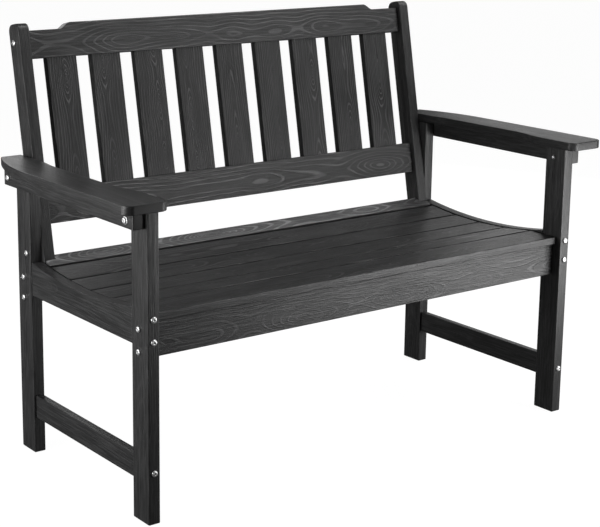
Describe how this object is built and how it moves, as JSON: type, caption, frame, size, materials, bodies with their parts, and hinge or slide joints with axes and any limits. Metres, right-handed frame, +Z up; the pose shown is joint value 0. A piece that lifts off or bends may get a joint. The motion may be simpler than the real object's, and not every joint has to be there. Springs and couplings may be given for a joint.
{
  "type": "garden bench",
  "caption": "Slatted outdoor bench with a dished seat, a reclined back of upright slats between two rails, flat tapered armrests and board legs.",
  "frame": {"origin": "on the ground, under the middle of the bounding box", "axes": "+X along the bench to the sitter's left, +Y from the front to the back, +Z up"},
  "size_m": [1.232, 0.5982, 0.8943],
  "materials": {
    "poly_lumber": "satin with an embossed wood grain",
    "stainless_steel": "satin"
  },
  "bodies": {
    "root": {"arm_rail_left": "poly_lumber", "arm_rail_right": "poly_lumber", "armrest_left": "poly_lumber", "armrest_right": "poly_lumber", "back_lower_rail": "poly_lumber", "back_slat_1": "poly_lumber", "back_slat_2": "poly_lumber", "back_slat_3": "poly_lumber", "back_slat_4": "poly_lumber", "back_slat_5": "poly_lumber", "back_slat_6": "poly_lumber", "back_slat_7": "poly_lumber", "back_slat_8": "poly_lumber", "back_slat_9": "poly_lumber", "back_top_rail": "poly_lumber", "back_upright_left": "poly_lumber", "back_upright_right": "poly_lumber", "bolt_arm_front_left": "stainless_steel", "bolt_arm_front_right": "stainless_steel", "bolt_arm_rear_left": "stainless_steel", "bolt_arm_rear_right": "stainless_steel", "bolt_back_lower_left": "stainless_steel", "bolt_back_lower_right": "stainless_steel", "bolt_front_apron_lower_left": "stainless_steel", "bolt_front_apron_lower_right": "stainless_steel", "bolt_front_apron_upper_left": "stainless_steel", "bolt_front_apron_upper_right": "stainless_steel", "bolt_rear_apron_lower_left": "stainless_steel", "bolt_rear_apron_lower_right": "stainless_steel", "bolt_rear_apron_upper_left": "stainless_steel", "bolt_rear_apron_upper_right": "stainless_steel", "bolt_side_rail_lower_left": "stainless_steel", "bolt_side_rail_lower_right": "stainless_steel", "bolt_side_rail_upper_left": "stainless_steel", "bolt_side_rail_upper_right": "stainless_steel", "bolt_stretcher_left": "stainless_steel", "bolt_stretcher_right": "stainless_steel", "bolt_top_rail_left": "stainless_steel", "bolt_top_rail_right": "stainless_steel", "centre_bearer": "poly_lumber", "front_apron": "poly_lumber", "leg_front_left": "poly_lumber", "leg_front_right": "poly_lumber", "leg_rear_left": "poly_lumber", "leg_rear_right": "poly_lumber", "nut_arm_left": "stainless_steel", "nut_arm_right": "stainless_steel", "rear_apron": "poly_lumber", "seat_slat_1": "poly_lumber", "seat_slat_2": "poly_lumber", "seat_slat_3": "poly_lumber", "seat_slat_4": "poly_lumber", "seat_slat_5": "poly_lumber", "seat_slat_6": "poly_lumber", "side_rail_left": "poly_lumber", "side_rail_right": "poly_lumber", "slat_cleat_left": "poly_lumber", "slat_cleat_right": "poly_lumber", "stretcher_left": "poly_lumber", "stretcher_right": "poly_lumber"}
  },
  "joints": []
}
